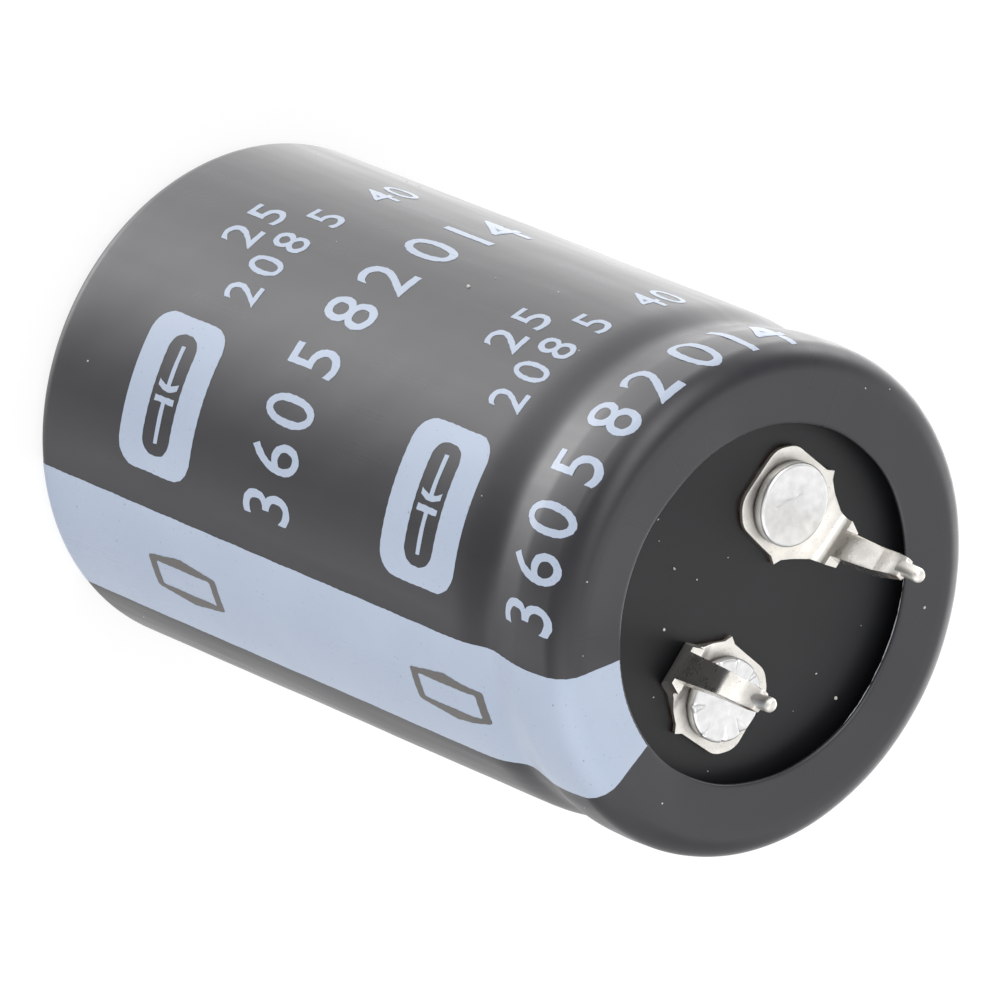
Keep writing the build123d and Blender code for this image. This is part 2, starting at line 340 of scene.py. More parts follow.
def rounded_line(corners, radii, run_step, arc_step):
    """Points along straight runs joined by tangent arcs.
    An arc of radius R that turns by t starts R tan(t / 2) before its corner, and after an angle
    a it stands at start + R (sin a * direction + (1 - cos a) * side)."""
    corners = np.array(corners, float)
    starts, line = corners[:-1].copy(), [corners[:1]]
    for k, radius in enumerate(radii, start=1):
        d0 = (corners[k] - corners[k - 1]) / np.linalg.norm(corners[k] - corners[k - 1])
        d1 = (corners[k + 1] - corners[k]) / np.linalg.norm(corners[k + 1] - corners[k])
        cross = d0[0] * d1[1] - d0[1] * d1[0]
        turn = np.arctan2(abs(cross), d0 @ d1)
        side = np.array([-d0[1], d0[0]]) * np.sign(cross)
        start = corners[k] - d0 * radius * np.tan(turn / 2)
        run = np.linalg.norm(start - starts[k - 1])
        steps = np.linspace(0, 1, max(2, int(run / run_step)) + 1)[1:, None]
        line.append(starts[k - 1] + (start - starts[k - 1]) * steps)
        a = np.linspace(0, turn, max(3, int(turn / arc_step)) + 1)[1:, None]
        line.append(start + radius * (np.sin(a) * d0 + (1 - np.cos(a)) * side))
        starts[k if k < len(starts) else -1] = line[-1][-1]
    steps = np.linspace(0, 1, 9)[1:, None]
    line.append(line[-1][-1] + (corners[-1] - line[-1][-1]) * steps)
    return np.concatenate(line)


FILM_CORNERS = [
    (FOOT_OPENING, 0), (FILM_RADIUS, 0), (FILM_RADIUS, WAIST_START), (WAIST_RADIUS, BEAD_LEVEL),
    (FILM_RADIUS, WAIST_END), (FILM_RADIUS, FILM_TOP), (LIP_FOLD, FILM_TOP),
    (TOP_OPENING, FILM_TOP - LIP_DROOP),
]
FILM_ROUNDS = (FOOT_ROUND, *WAIST_ROUNDS, SHOULDER_ROUND, LIP_ROUND)
film_line = rounded_line(FILM_CORNERS, FILM_ROUNDS, run_step=0.8, arc_step=np.radians(4))
film_step = np.linalg.norm(np.diff(film_line, axis=0), axis=1)
film_along = np.concatenate([[0], np.cumsum(film_step)])
film_along += WAIST_START / 2 - np.interp(WAIST_START / 2, film_line[:, 1], film_along)
tangents = np.gradient(film_line, film_along, axis=0)
print(len(film_line), "points; the line runs from", film_along[[0, -1]].round(2), "mm")

# %% [markdown]
# Distance along the line equals the height on the straight wall, which makes the print easy to
# place. Hand-held shrinking leaves the film a little uneven: some hundredths of a millimetre on
# the wall, which only bend the reflections, a low swell under the shoulder, and more at the cut
# edge. Each unevenness is a table of waves: a height in millimetres, how many go round, how far
# the phase moves in a millimetre along the line, and where it starts.

# %% The film's surface
INK = 0.012
WALL_WAVES = ((0.007, 3, 0.31, 1.0), (0.005, 7, -0.55, 0.0), (0.003, 16, 1.3, 2.0))
CUT_WAVES = ((0.035, 2, 0.0, 0.7), (0.025, 5, 0.0, 2.1), (0.012, 13, 0.0, 0.0))
SAG_WAVES = ((0.03, 3, 0.0, 0.4), (0.02, 8, 0.0, 0.0))
SWELL_HEIGHT = 0.05
SWELL_LEVEL = 38.6
SWELL_WIDTH = 0.8
LIP_START = film_along[-1] - 2.4
FOOT_SETTLED = 2.0
FOOT_RISE = 0.015


def waves(table, turn, along=0.0):
    """Sum over a table of height * sin(count * turn + slope * along + start)."""
    return sum(h * np.sin(count * turn + slope * along + start) for h, count, slope, start in table)


def film_point(turn, along, lift=0.0, over=0.0):
    """Points of the film at an angle and a distance along its line, in millimetres.
    The line gives radius and height, the waves add the unevenness, lift moves a point out of the
    surface and over moves it along the line. Towards the foot the waves die out and the film
    rises by a little more than the ink's thickness, so that the ink there is off the table."""
    turn, along = np.broadcast_arrays(turn, along)
    radius = np.interp(along, film_along, film_line[:, 0])
    height = np.interp(along, film_along, film_line[:, 1])
    t_r = np.interp(along, film_along, tangents[:, 0])
    t_z = np.interp(along, film_along, tangents[:, 1])
    size = np.hypot(t_r, t_z)
    t_r, t_z = t_r / size, t_z / size
    swell = SWELL_HEIGHT * np.exp(-(((along - SWELL_LEVEL) / SWELL_WIDTH) ** 2))
    uneven = waves(WALL_WAVES, turn, along) + swell
    lip = np.clip((along - LIP_START) / (film_along[-1] - LIP_START), 0, 1) ** 2
    settled = np.clip(height / FOOT_SETTLED, 0, 1)
    out = lift + uneven * settled
    r = radius + out * t_z + over * t_r + lip * waves(CUT_WAVES, turn)
    z = height - out * t_r + over * t_z + lip * waves(SAG_WAVES, turn)
    z = z + FOOT_RISE * (1 - settled)
    return np.stack([r * np.cos(turn), r * np.sin(turn), z], -1)


print("a point of the wall:", film_point(0.0, 20.0).round(3), "mm")
print("a point of the cut edge:", film_point(0.0, film_along[-1]).round(3), "mm")

# %% [markdown]
# Heat-shrink film for capacitors is PVC or PET, extruded and inflated. It is black all through
# and shines softly, with faint lines along the way it was drawn and a slight orange peel where
# it shrank. Both are far too shallow to see except in a highlight, so they are bump, whose
# distances are real depths. The film's index of refraction, 1.5, is that of most plastics.

# %% Shrink film material
DRAW_LINE = 0.9
LINE_STRETCH = 12
ORANGE_PEEL = 1.6
FILM_IOR = 1.5
FILM_LENGTH = film_along[-1] - film_along[0]
FILM_GIRTH = 2 * np.pi * FILM_RADIUS


def film_surface(tree, shader):
    """Joins the film's bump and roughness, in millimetres of its own UV map, to a shader."""
    uv = node(tree, "UVMap", {"uv_map": "film"})
    flat = node(tree, "VectorMath", MULTIPLY, i0=uv, i1=(FILM_GIRTH, FILM_LENGTH, 0))
    drawn = node(
        tree, "VectorMath", MULTIPLY, i0=flat,
        i1=(1 / DRAW_LINE, 1 / (DRAW_LINE * LINE_STRETCH), 0),
    )
    lines = node(tree, "TexNoise", Vector=drawn, Scale=1.0, Detail=1.0)
    peel = node(tree, "TexNoise", Vector=flat, Scale=1 / ORANGE_PEEL, Detail=1.0)
    first = node(tree, "Bump", Height=lines, Strength=0.2, Distance=0.006 * MM)
    both = node(tree, "Bump", Height=peel, Strength=0.5, Distance=0.012 * MM, Normal=first)
    rough = node(
        tree, "MapRange", Value=lines, From_Min=0.3, From_Max=0.7, To_Min=0.27, To_Max=0.33
    )
    feed(shader, Normal=both, Roughness=rough, IOR=FILM_IOR)
    return flat


film, tree, shader = new_material("black_shrink_film")
film_surface(tree, shader)
feed(shader, Base_Color="#2b2b30")
print("film of", round(FILM_GIRTH, 1), "by", round(FILM_LENGTH, 1), "mm")

# %% [markdown]
# The sleeve's section is the line on the outside, the same line one thickness further in, and a
# half round at each cut edge. Carried round the axis, it closes on itself both ways.

# %% Sleeve
COLUMNS = 360
half = FILM_THICKNESS / 2
round_steps = 9
outer = film_along[(film_along > film_along[0] + half) & (film_along < film_along[-1] - half)]
outer = np.concatenate([[film_along[0] + half], outer, [film_along[-1] - half]])
inner = outer[::-1][::3]
b = np.linspace(0, np.pi, round_steps)[1:-1]
along = np.concatenate([outer, outer[-1] + 0 * b, inner, outer[0] + 0 * b])
lift = np.concatenate(
    [0 * outer, half * np.cos(b) - half, 0 * inner - FILM_THICKNESS, -half - half * np.cos(b)]
)
over = np.concatenate([0 * outer, half * np.sin(b), 0 * inner, -half * np.sin(b)])
turn = np.arange(COLUMNS) * 2 * np.pi / COLUMNS
points = film_point(turn, along[:, None], lift[:, None], over[:, None])
faces = grid_faces(len(along), COLUMNS, closed_rows=True, closed_columns=True)
mesh = new_mesh("printed_sleeve", points, faces)


def add_film_map(mesh, turns, alongs):
    """Writes the UV map called film: turns and distances along the line, both as shares."""
    layer = mesh.uv_layers.new(name="film")
    shares = (alongs - film_along[0]) / FILM_LENGTH
    layer.uv.foreach_set("vector", np.stack([turns, shares], -1).ravel())


i, j = faces[:, 0] // COLUMNS, faces[:, 0] % COLUMNS
turns = np.stack([j, j + 1, j + 1, j], -1) / COLUMNS
after = (i + 1) % len(along)
add_film_map(mesh, turns, along[np.stack([i, i, after, after], -1)])
sleeve = new_piece("printed_sleeve", mesh, film)
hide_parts("sleeve")
print("sleeve:", len(faces), "quads")

# %% [markdown]
# A pale ribbon painted as the glint of the cut edge of the top opening runs along it in a
# broken thread: painted highlight on the edge's half round, as wide as a table of waves says,
# wrapped round it by an angle and standing a little proud of it.

# %% Painted glint on the cut edge
EDGE_TURNS = np.radians([-80, -29])
EDGE_STEPS = 400
EDGE_WAVES = ((0.25, 13, 0.0, 0.0), (0.2, 47, 0.0, 1.0), (0.12, 137, 0.0, 2.0))
EDGE_WRAP = np.radians(55)
EDGE_PROUD = 0.035
painted_glint_film, tree, shader = new_material("painted_glint_material")
# Painted highlight: the ribbon's pale colour stands for the glint of the film's cut edge.
feed(shader, Base_Color="#dfe4ea", Roughness=0.35)
t = np.linspace(*EDGE_TURNS, EDGE_STEPS)
wide = np.clip(0.5 + waves(EDGE_WAVES, t), 0, 1)
wide = wide * np.sin(np.linspace(0, np.pi, EDGE_STEPS)) ** 0.5
b = np.pi / 2 + EDGE_WRAP * wide * np.array([[0], [1], [1], [0]])
out = half + EDGE_PROUD * wide * np.array([[0.4], [1], [0], [0]])
points = film_point(t, film_along[-1] - half, out * np.cos(b) - half, out * np.sin(b))
mesh = new_mesh("painted_glint_edge", points, grid_faces(4, EDGE_STEPS, closed_rows=True))
new_piece("painted_glint_edge", mesh, painted_glint_film)
print("whitened edge, at most", round(float(EDGE_WRAP * wide.max() * half), 3), "mm wide")

# %% [markdown]
# The print is a pale blue ink, rolled on in one pass. It is even from afar and slightly clouded
# up close, with pinholes where the film shows through. It is thin enough to keep the film's
# lines, peel and gloss. The marks on the stripe are the same ink in dark grey.

# %% Ink material
INK_SPECK = 0.22
INK_CLOUD = 4.0
ink, tree, shader = new_material("pale_blue_ink")
flat = film_surface(tree, shader)
specks = node(tree, "TexNoise", Vector=flat, Scale=1 / INK_SPECK, Detail=3.0)
clouds = node(tree, "TexNoise", Vector=flat, Scale=1 / INK_CLOUD, Detail=2.0)
tone = node(tree, "Mix", MIX_COLOURS, i0=clouds, i6="#b3c0d6", i7="#bdc9dc").outputs[2]
thin = node(tree, "MapRange", Value=specks, From_Min=0.34, From_Max=0.24, To_Max=0.5)
worn = node(tree, "Mix", MIX_COLOURS, i0=thin, i6=tone, i7="#5c6270")
feed(shader, Base_Color=worn.outputs[2])

dark_ink, tree, shader = new_material("dark_print")
film_surface(tree, shader)
feed(shader, Base_Color="#6b6967")
print("inks ready, with thin spots of", INK_SPECK, "mm")

# %% [markdown]
# The ink was pressed on the flat film before it was shrunk, so it follows the film over the waist
# and the shoulder and its edges are a little ragged. Each print is drawn as a flat shape, and its
# points are carried onto the film: across is angle times radius, and up is distance along the
# line. A mesh lifted by the ink's thickness keeps a crisp edge at any distance.

# %% Carry a flat shape onto the film
RAGGED = 0.022


def ragged(x, y):
    """Small shifts of a print's points: sums of sines whose waves are under a millimetre."""
    return (
        RAGGED * np.sin(9.1 * x + 4.7 * y) * np.cos(7.3 * y - 3.1 * x + 1.0),
        RAGGED * np.sin(8.3 * y - 5.9 * x + 2.0) * np.cos(6.1 * x + 2.7 * y),
    )


def print_on_film(name, mesh, level, lift=INK, material=ink):
    """Turns a flat mesh into a print. Its x, in mm, runs with the reading direction and is
    minus radius times angle; its y is up in the print, which is down along the film from a
    level. A flat face that looks up looks out of the film, so the others are turned round."""
    shape = bmesh.new()
    shape.from_mesh(mesh)
    shape.normal_update()
    bmesh.ops.reverse_faces(shape, faces=[face for face in shape.faces if face.normal.z < 0])
    shape.to_mesh(mesh)
    shape.free()
    x, y = rows_of(mesh.vertices, "co")[:, :2].T
    dx, dy = ragged(x, y + level)
    turn, along = -(x + dx) / FILM_RADIUS, level - (y + dy)
    points = film_point(turn, along, lift)
    mesh.vertices.foreach_set("co", (points * MM).ravel())
    corner = np.empty(len(mesh.loops), int)
    mesh.loops.foreach_get("vertex_index", corner)
    add_film_map(mesh, turn[corner] / (2 * np.pi), along[corner])
    mesh.update()
    return new_piece(name, mesh, material)


def flat_grid(name, x, y):
    """A flat mesh of a grid of points given by two arrays of the same shape."""
    return new_mesh(name, np.stack([x, y, 0 * x], -1), grid_faces(*x.shape), unit=1)


print("ink stands", INK, "mm off the film and strays by", RAGGED, "mm")

# %% [markdown]
# A broad stripe marks the negative side. It runs the whole length, over the shoulder and across
# the rim to the cut edge, and carries dark outlined minus marks. It is one grid of angle and
# distance.

# %% Stripe
STRIPE_TURNS = (159.5, 191.9)
STRIPE_ROWS = 190
STRIPE_COLUMNS = 36
STRIPE_START = film_along[0] + 0.4
STRIPE_END = film_along[-1] - half - 0.03
stripe_along = np.linspace(STRIPE_START, STRIPE_END, STRIPE_ROWS)
stripe_x = -FILM_RADIUS * np.radians(np.linspace(*STRIPE_TURNS[::-1], STRIPE_COLUMNS))
y, x = np.meshgrid(-stripe_along[::-1], stripe_x, indexing="ij")
print_on_film("negative_stripe", flat_grid("negative_stripe", x, y), 0.0)
print("stripe", round(stripe_x[-1] - stripe_x[0], 2), "mm wide")

# %% [markdown]
# Outlines and panels are bands between two closed curves. A rounded box is a corner circle moved
# out to the corner of its quadrant; its points are then spaced evenly, so that the long sides
# can bend with the film as well.

# %% Outlines and bands


def rounded_box(half_width, half_height, radius, count=96):
    """Evenly spaced points of a box with rounded corners, round its middle."""
    fine = 400
    a = (np.arange(fine) + 0.5) * 2 * np.pi / fine
    x = np.sign(np.cos(a)) * (half_width - radius) + radius * np.cos(a)
    y = np.sign(np.sin(a)) * (half_height - radius) + radius * np.sin(a)
    x, y = np.append(x, x[0]), np.append(y, y[0])
    length = np.concatenate([[0], np.cumsum(np.hypot(np.diff(x), np.diff(y)))])
    even = np.linspace(0, length[-1], count + 1)
    return np.stack([np.interp(even, length, x), np.interp(even, length, y)])


def band(name, outside, inside, middle, rows=5):
    """A flat band between two closed outlines of as many points, moved to a middle."""
    share = np.linspace(0, 1, rows)[:, None]
    x = middle[0] + outside[0] * (1 - share) + inside[0] * share
    y = middle[1] + outside[1] * (1 - share) + inside[1] * share
    return flat_grid(name, x, y)


def bar(name, left, right, low, high, bow=0.0):
    """A flat bar. With a bow, its ends stay and its middle moves that far in x."""
    y, x = np.meshgrid(np.linspace(low, high, 17), np.linspace(left, right, 6), indexing="ij")
    t = (y - (low + high) / 2) / ((high - low) / 2)
    return flat_grid(name, x + bow * (1 - t**2), y)


print("an outline has", rounded_box(4.0, 2.8, 1.3).shape[1], "points")

# %% [markdown]
# The minus marks swell to a blunt point half way up each side. The panels hold the circuit symbol
# of a polarised capacitor: a plate, a bowed plate and two leads. Both come twice, one repeat of
# the roller apart.

# %% Marks and panels
REPEAT = 20.5
MARK_TURN = 175.6
MARK_LEVEL = 11.2
MARK_HALF = (0.95, 2.65)
MARK_INNER = (0.71, 2.12)
MARK_SWELL = 0.42
PANEL_TURN = 133.1
PANEL_LEVEL = 9.5
PANEL_HALF = (4.0, 2.8)
SLOT_HALF = (3.1, 1.05)
SYMBOL = {
    "lead_in": (-2.5, -0.45, -0.14, 0.14, 0.0),
    "plate": (-0.45, -0.13, -0.72, 0.72, 0.0),
    "cup": (0.35, 0.67, -0.72, 0.72, -0.22),
    "lead_out": (0.45, 2.5, -0.14, 0.14, 0.0),
}
for k in range(2):
    level = MARK_LEVEL + k * REPEAT
    middle = (-FILM_RADIUS * np.radians(MARK_TURN), 0)
    outside = rounded_box(*MARK_HALF, 0.12)
    outside[0] += np.sign(outside[0]) * MARK_SWELL * (1 - np.abs(outside[1]) / MARK_HALF[1])
    outline = band("mark", outside, rounded_box(*MARK_INNER, 0.1), middle)
    print_on_film(f"minus_mark_{k + 1}", outline, level, 2 * INK, dark_ink)
    middle = (-FILM_RADIUS * np.radians(PANEL_TURN), 0)
    level = PANEL_LEVEL + k * REPEAT
    panel = band("panel", rounded_box(*PANEL_HALF, 1.3), rounded_box(*SLOT_HALF, 0.9), middle, 7)
    print_on_film(f"panel_{k + 1}", panel, level)
    for part, (left, right, low, high, bow) in SYMBOL.items():
        strip = bar(part, middle[0] + left, middle[0] + right, low, high, bow)
        print_on_film(f"symbol_{part}_{k + 1}", strip, level)
print("two marks and two panels,", REPEAT, "mm apart")

# %% [markdown]
# The rest of the print is numbers. A numeral of the built-in font is made a mesh, brought to its
# width and height, and cut along a fine grid so that it can bend.

# %% Numerals
GRID = 0.3
EMBOLDEN = 0.004
NOUGHT_WIDTH = 0.52


def flat_numeral(sign, width, height):
    """A numeral as a flat mesh in millimetres, its foot on y = 0 and its middle on x = 0.
    The width is that of a nought, and the other signs keep their share of it."""
    text = bpy.data.curves.new("numeral", "FONT")
    text.body = sign
    text.offset = EMBOLDEN
    text.resolution_u = 5
    holder = bpy.data.objects.new("numeral", text)
    link_object(holder)
    bpy.context.view_layer.update()
    seen = holder.evaluated_get(bpy.context.evaluated_depsgraph_get())
    mesh = bpy.data.meshes.new_from_object(seen)
    bpy.data.objects.remove(holder)
    points = rows_of(mesh.vertices, "co")
    low, high = points.min(0), points.max(0)
    points[:, 0] = (points[:, 0] - (low[0] + high[0]) / 2) * width / NOUGHT_WIDTH
    points[:, 1] = (points[:, 1] - low[1]) * height / (high[1] - low[1])
    mesh.vertices.foreach_set("co", points.ravel())
    return mesh


def flat_row(name, signs, turns, width, height):
    """A row of numerals at the angles given, cut along a grid in both directions."""
    row, places = bmesh.new(), -FILM_RADIUS * np.radians(turns)
    for sign, place in zip(signs, places):
        numeral = flat_numeral(sign, width, height)
        numeral.transform(Matrix.Translation((place, 0, 0)))
        row.from_mesh(numeral)
        bpy.data.meshes.remove(numeral)
    bmesh.ops.remove_doubles(row, verts=row.verts[:], dist=0.001)
    start, end = min(places) - width, max(places) + width
    cuts = [((x, 0, 0), (1, 0, 0)) for x in np.arange(start, end, GRID)]
    cuts += [((0, y, 0), (0, 1, 0)) for y in np.arange(GRID / 2, height, GRID)]
    for spot, normal in cuts:
        geometry = row.verts[:] + row.edges[:] + row.faces[:]
        bmesh.ops.bisect_plane(row, geom=geometry, plane_co=spot, plane_no=normal)
    mesh = bpy.data.meshes.new(name)
    row.to_mesh(mesh)
    row.free()
    return mesh


print("numerals are cut every", GRID, "mm")

# %% [markdown]
# The table of rows holds the signs, the angle of each in degrees from the print's zero, a
# nought's width, the height, the level of the first row and the step up to the second.

# %% Numbers
PRINT_ZERO = 35.6
NUMBERS = {
    "large": ("360582014", [112, 101, 90.5, 78, 65, 53.5, 40.5, 30, 21], 1.9, 3.6, 20.3, 20.0),
    "small": ("2085", [70, 62, 54, 43.5], 1.35, 2.4, 12.35, REPEAT),
    "short": ("25", [57, 49], 1.5, 2.4, 9.2, REPEAT),
    "lot": ("40", [28, 22], 1.2, 2.4, 12.2, REPEAT),
}
for k in range(2):
    for name, (signs, turns, width, height, level, step) in NUMBERS.items():
        row = flat_row(name, signs, PRINT_ZERO + np.array(turns), width, height)
        print_on_film(f"{name}_number_{k + 1}", row, level + k * step)
print(2 * len(NUMBERS), "rows of plain numbers")

# %% [markdown]
# The deck is a sheet of black EPDM rubber, vulcanised onto the terminal board. Rubber is matt
# and slightly velvety: a rough surface with a fine grain, which greys where it was rubbed. The
# bloom on it dulls what it mirrors, so its index of refraction is low.

# %% Deck rubber
RUBBER_GRAIN = 0.12
RUB_MARK = 4.0
rubber, tree, shader = new_material("vulcanised_rubber")
spot = node(tree, "TexCoord").outputs["Object"]
grain = node(tree, "TexNoise", Vector=spot, Scale=per_mm(RUBBER_GRAIN), Detail=2.0)
rubbed = node(tree, "TexNoise", Vector=spot, Scale=per_mm(RUB_MARK), Detail=4.0)
tone = node(tree, "Mix", MIX_COLOURS, i0=rubbed, i6="#0a0b0d", i7="#17181b").outputs[2]
bump = node(tree, "Bump", Height=grain, Strength=0.35, Distance=0.01 * MM)
feed(shader, Base_Color=tone, Normal=bump, Roughness=0.5, IOR=1.42)
print("rubber grain of", RUBBER_GRAIN, "mm")

# %% [markdown]
# Tin plate is steel or copper strip that was dipped or plated in tin before stamping. The faces
# are warm white metal with a clouded sheen, shinier on the pin, which the die wiped as it bent;
# the cut edges show the bare strip, which has gone brown next to the rubber. The piece's own
# face attribute called cut says where that is. Two zones above the plate change the roughness:
# over the first it falls, and over the second, at the coined tip, it rises again.

# %% Tin plate
CLOUD = 0.9
FLECK = 0.12
WIPED_ZONES = ((1.0, 1.9, 0.16), (5.4, 6.3, -0.2))
tin, tree, shader = new_material("tin_plate")
spot = node(tree, "TexCoord").outputs["Object"]
clouds = node(tree, "TexNoise", Vector=spot, Scale=per_mm(CLOUD), Detail=4.0)
flecks = node(tree, "TexNoise", Vector=spot, Scale=per_mm(FLECK), Detail=2.0)
cut = node(tree, "Attribute", {"attribute_name": "cut"}).outputs["Fac"]
tone = node(tree, "Mix", MIX_COLOURS, i0=clouds, i6="#c9c6c0", i7="#e8e5e0").outputs[2]
dull = node(tree, "MapRange", Value=flecks, From_Min=0.36, From_Max=0.28, To_Max=0.45)
tone = node(tree, "Mix", MIX_COLOURS, i0=dull, i6=tone, i7="#8f8a82").outputs[2]
bared = node(tree, "MapRange", Value=clouds, From_Min=0.35, From_Max=0.6, To_Min=0.55)
bared = node(tree, "Math", MULTIPLY, i0=bared, i1=cut)
tone = node(tree, "Mix", MIX_COLOURS, i0=bared, i6=tone, i7="#7a5a40").outputs[2]
rough = node(tree, "MapRange", Value=clouds, From_Min=0.3, From_Max=0.7, To_Min=0.5, To_Max=0.36)
height = node(tree, "SeparateXYZ", Vector=spot).outputs["Z"]
for start, end, wiped in WIPED_ZONES:
    low, high = (PLATE_BASE + start) * MM, (PLATE_BASE + end) * MM
    change = node(tree, "MapRange", Value=height, From_Min=low, From_Max=high, To_Max=wiped)
    rough = node(tree, "Math", {"operation": "SUBTRACT"}, i0=rough, i1=change)
bump = node(tree, "Bump", Height=clouds, Strength=0.35, Distance=0.05 * MM)
fine = node(tree, "Bump", Height=flecks, Strength=0.2, Distance=0.01 * MM, Normal=bump)
feed(shader, Base_Color=tone, Roughness=rough, Normal=fine, Metallic=1.0)
print("tin plate with clouds of", CLOUD, "mm")

# %% [markdown]
# The stampings keep the solids' shape, but a press leaves no knife edges: a glint runs along each
# rounded corner. A copy of the solid is merged, its sharp edges are eased, and cuts a quarter of
# a millimetre apart give it the points that the soft shapes need. The coined root of the round
# tip is smoothed, because the die leaves no step there. A rise is a height above the plate's base.

# %% Eased copy of a stamping
EASED = 0.11
EASED_FROM = np.radians(28)
CUT_STEP = 0.25
CUT_REACH = (-5, 8)
LOWEST_CUT = 1.2
PIN_TOP = 7.7
BROWN_RISE = 0.55
ROOT_LOW, ROOT_HIGH = 6.0, 7.3
ROOT_ROUNDS = 14


def eased_copy(name, middle, heading, across):
    """A copy of a stamped solid with eased edges, cut along all three of its directions."""
    stamping = bmesh.new()
    stamping.from_mesh(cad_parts[name].data)
    bmesh.ops.remove_doubles(stamping, verts=stamping.verts[:], dist=0.002 * MM)
    verts, edges = stamping.verts[:], stamping.edges[:]
    bmesh.ops.dissolve_limit(stamping, angle_limit=np.radians(0.6), verts=verts, edges=edges)
    sharp = [e for e in stamping.edges if e.is_manifold and e.calc_face_angle() > EASED_FROM]
    bmesh.ops.bevel(
        stamping, geom=sharp, offset=EASED * MM, segments=3, affect="EDGES", clamp_overlap=True,
        profile=0.5,
    )
    reach = np.arange(*CUT_REACH, CUT_STEP)
    planes = [((*middle, PLATE_BASE), (*direction, 0), reach) for direction in (heading, across)]
    rises = np.append(np.arange(LOWEST_CUT, PIN_TOP, CUT_STEP), BROWN_RISE)
    planes.append(((*middle, PLATE_BASE), (0, 0, 1), rises))
    for origin, normal, steps in planes:
        for step in steps:
            spot = (np.array(origin) + step * np.array(normal)) * MM
            geometry = stamping.verts[:] + stamping.edges[:] + stamping.faces[:]
            bmesh.ops.bisect_plane(
                stamping, geom=geometry, plane_co=spot, plane_no=normal, dist=0.001 * MM
            )
    bmesh.ops.triangulate(stamping, faces=stamping.faces[:])
    low, high = (PLATE_BASE + ROOT_LOW) * MM, (PLATE_BASE + ROOT_HIGH) * MM
    root = [v for v in stamping.verts if low < v.co.z < high]
    for _ in range(ROOT_ROUNDS):
        bmesh.ops.smooth_vert(
            stamping, verts=root, factor=0.4, use_axis_x=True, use_axis_y=True, use_axis_z=True
        )
    mesh = bpy.data.meshes.new(name + "_eased")
    stamping.to_mesh(mesh)
    stamping.free()
    return mesh


print("edges eased by", EASED, "mm and cuts", CUT_STEP, "mm apart")

# %% [markdown]
# Riveting draws the plate down in a shallow dish round the head, handling leaves it slightly
# wavy, and the pin bows a little behind its knee. All three shift the points by a formula, the
# first two on the plate's upper face alone.

# %% Dish, dents and bow
DISH_DEPTH = 0.08
DISH_RADIUS = 2.15
DISH_WIDTH = 0.4
DENT_DEPTH = 0.012
KNEE = 4.6
KNEE_SOFTNESS = 0.3
PIN_BOW = 0.2


def soften(mesh, middle, heading):
    """Draws the plate down round the rivet by a bell curve of the distance from its axis, bows
    the pin back by half a sine between its knee and its top, starting softly by the mean of the
    height and its hypotenuse with the softness, and adds shallow dents."""
    points = rows_of(mesh.vertices, "co") / MM
    flat = points[:, :2] - middle
    rise = points[:, 2] - PLATE_BASE
    distance = np.hypot(flat[:, 0], flat[:, 1])
    dish = DISH_DEPTH * np.exp(-(((distance - DISH_RADIUS) / DISH_WIDTH) ** 2))
    dent = DENT_DEPTH * np.sin(2.9 * flat[:, 0] + 1.0) * np.sin(2.3 * flat[:, 1])
    on_top = (rise > SHEET / 2) & (rise < SHEET + 0.3)
    points[:, 2] += np.where(on_top, dent - dish, 0)
    behind = (rise - KNEE + np.hypot(rise - KNEE, KNEE_SOFTNESS)) / 2
    share = np.clip(behind / (PIN_TOP - KNEE), 0, 1) * (rise > SHEET + 1)
    points[:, :2] -= PIN_BOW * np.sin(np.pi * share)[:, None] * heading
    mesh.vertices.foreach_set("co", (points * MM).ravel())
    mesh.update()


print("dish", DISH_DEPTH, "mm deep, pin bowed", PIN_BOW, "mm")

# %% [markdown]
# Both terminals come from one tool. The second is turned half round and riveted a few degrees
# off. Each face is marked as cut or not while the stamping is still straight.

# %% Terminals
UPRIGHT_BELOW = 0.35
SIDEWAYS_ABOVE = 0.9
BROWN_ROOT = (5.9, 6.7)


def formed_stamping(name, middle, heading):
    """A terminal, with the face attribute called cut: one where the strip was cut through low
    round the plate, where a face is upright, and beside the pin's root, where it looks sideways."""
    across = np.array([heading[1], -heading[0]])
    mesh = eased_copy(name, middle, heading, across)
    normal = rows_of(mesh.polygons, "normal")
    rise = rows_of(mesh.polygons, "center")[:, 2] / MM - PLATE_BASE
    upright = np.abs(normal[:, 2]) < UPRIGHT_BELOW
    sideways = np.abs(normal[:, :2] @ across) > SIDEWAYS_ABOVE
    at_root = (rise > BROWN_ROOT[0]) & (rise < BROWN_ROOT[1])
    cut = (upright & (rise < BROWN_RISE)) | (sideways & at_root)
    soften(mesh, middle, heading)
    mesh.attributes.new("cut", "FLOAT", "FACE").data.foreach_set("value", cut.astype(float))
    piece = new_piece(name + "_formed", mesh, tin)
    mesh.set_sharp_from_angle(angle=np.radians(40))
    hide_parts(name)
    return len(mesh.polygons)


to_pin = (PIN_PLACE - RIVET_PLACE) / np.linalg.norm(PIN_PLACE - RIVET_PLACE)
c, s = np.cos(NEGATIVE_TURN), np.sin(NEGATIVE_TURN)
turned = np.array([[c, -s], [s, c]]) @ to_pin
print("positive terminal:", formed_stamping("positive_terminal", RIVET_PLACE, to_pin), "faces")
print("negative terminal:", formed_stamping("negative_terminal", -RIVET_PLACE, -turned), "faces")
